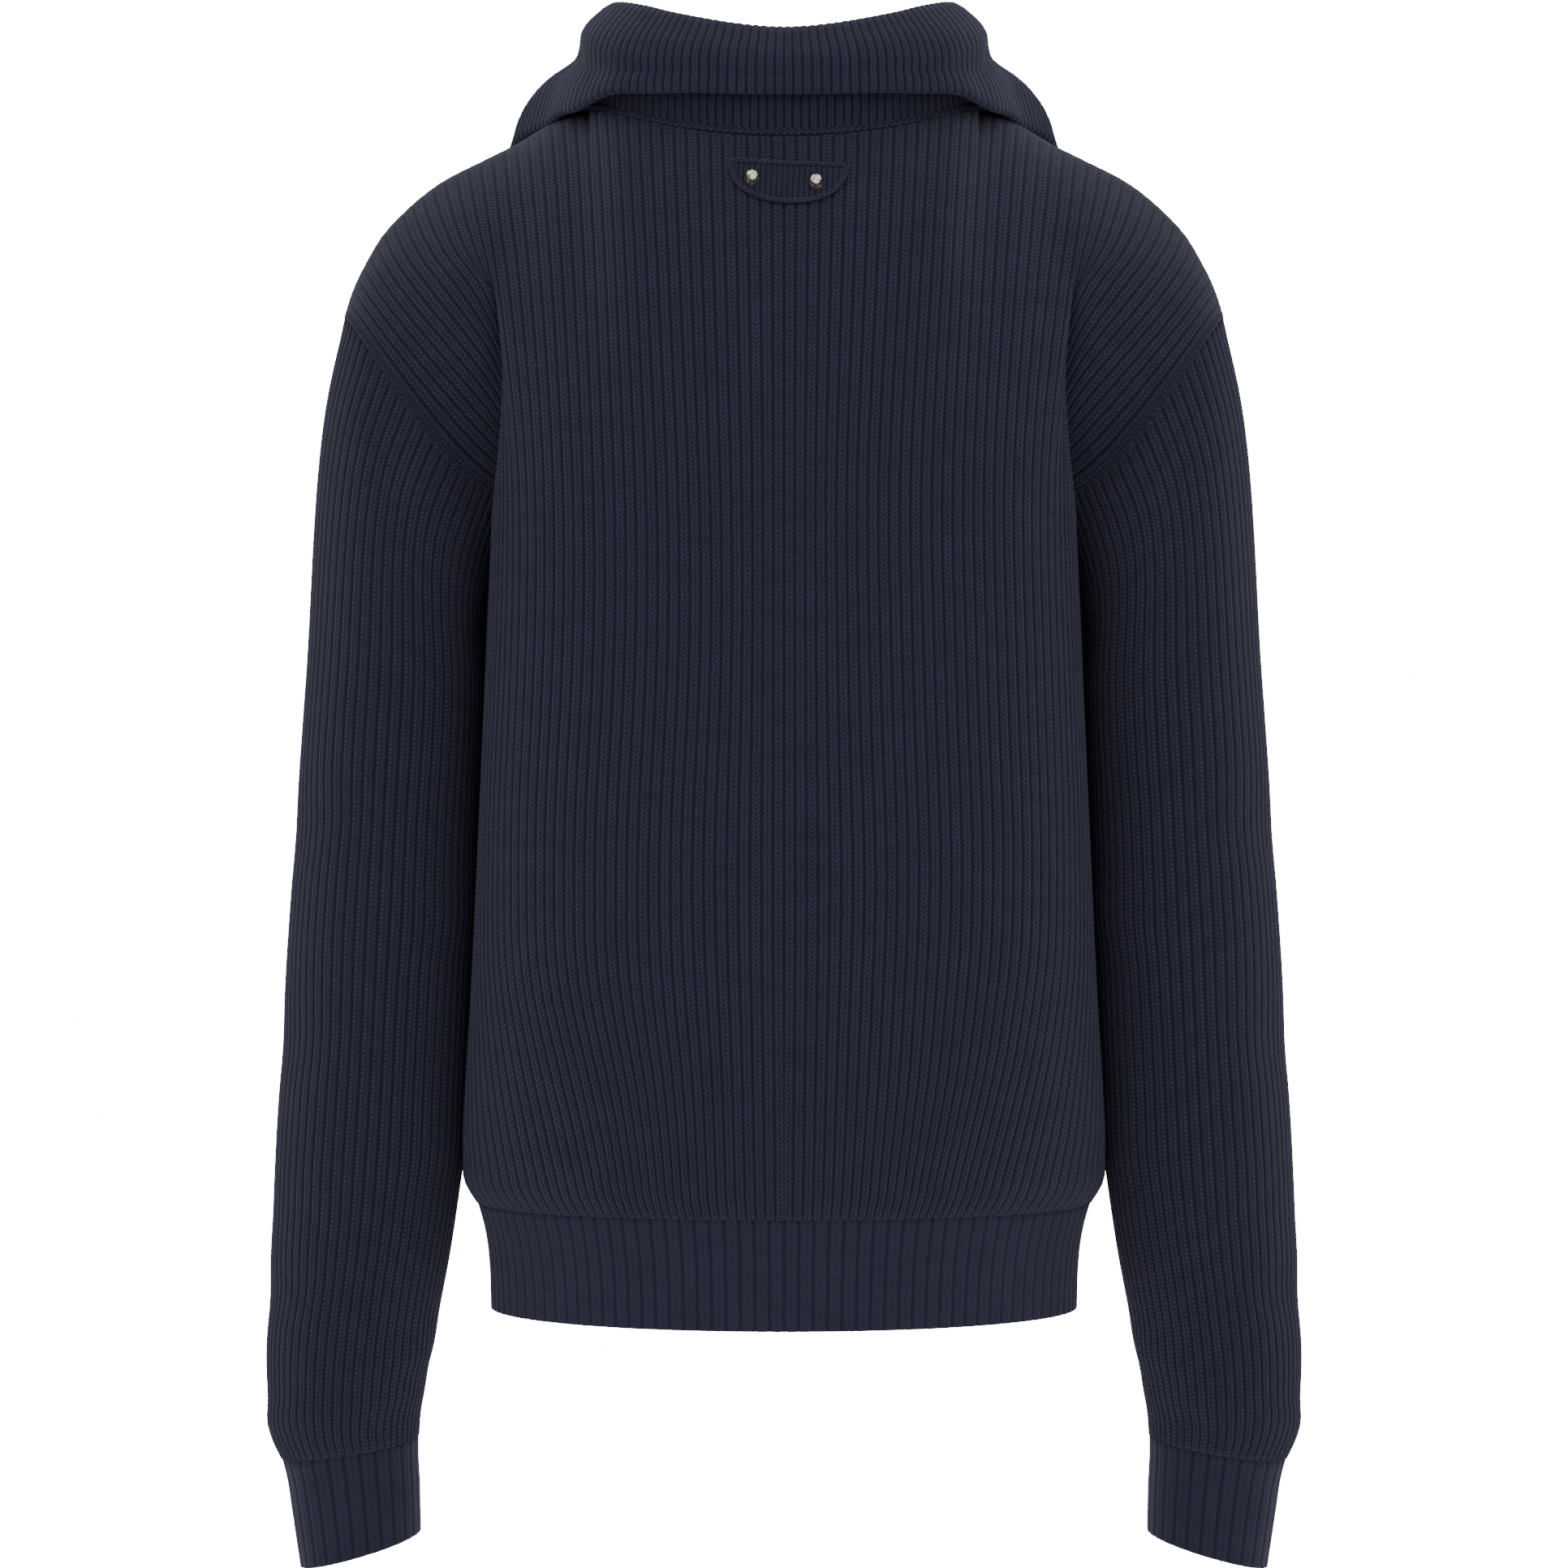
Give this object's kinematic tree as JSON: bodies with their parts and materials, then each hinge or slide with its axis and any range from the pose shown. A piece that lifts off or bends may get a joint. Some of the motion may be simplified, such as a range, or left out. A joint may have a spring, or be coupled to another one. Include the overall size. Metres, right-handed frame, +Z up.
{
  "type": "half-zip sweater",
  "caption": "Chunky rib-knit half-zip sweater, filled out as worn, with a tall folded collar, dropped shoulders, ribbed cuffs and hem band and a studded half-moon tab at the back of the neck.",
  "frame": {"origin": "middle of the neck opening at the height of the shoulder-neck points, where the wearer's shoulders hold the garment", "axes": "+Z up from hem to collar, -Y out of the front, +X to the wearer's left"},
  "size_m": [0.5828, 0.2549, 0.8776],
  "materials": {
    "main_rib": "matte chunky rib knit, navy",
    "collar_rib": "matte doubled rib knit, navy",
    "band_rib": "matte flat rib knit, navy",
    "tab_knit": "matte fine rib knit, navy",
    "studs": "antique pewter",
    "zip_tape": "woven tape, dark navy",
    "zip_metal": "antique pewter"
  },
  "bodies": {
    "garment": {"back": "main_rib", "front": "main_rib", "sleeve_left": "main_rib", "sleeve_right": "main_rib", "collar": "collar_rib", "waistband": "band_rib", "cuff_left": "band_rib", "cuff_right": "band_rib", "neck_tab": "tab_knit", "stud_left": "studs", "stud_right": "studs", "zip_tape_left": "zip_tape", "zip_tape_right": "zip_tape", "zip_slider": "zip_metal", "zip_stop": "zip_metal"},
    "pull_tab": {"pull_tab": "zip_metal"}
  },
  "joints": [
    {"name": "pull_tab_hinge", "type": "hinge", "parent": "garment", "child": "pull_tab", "pos_m": [0, -0.10648, -0.0943], "axis": [-1, 0, 0], "range_deg": [0, 150]}
  ]
}
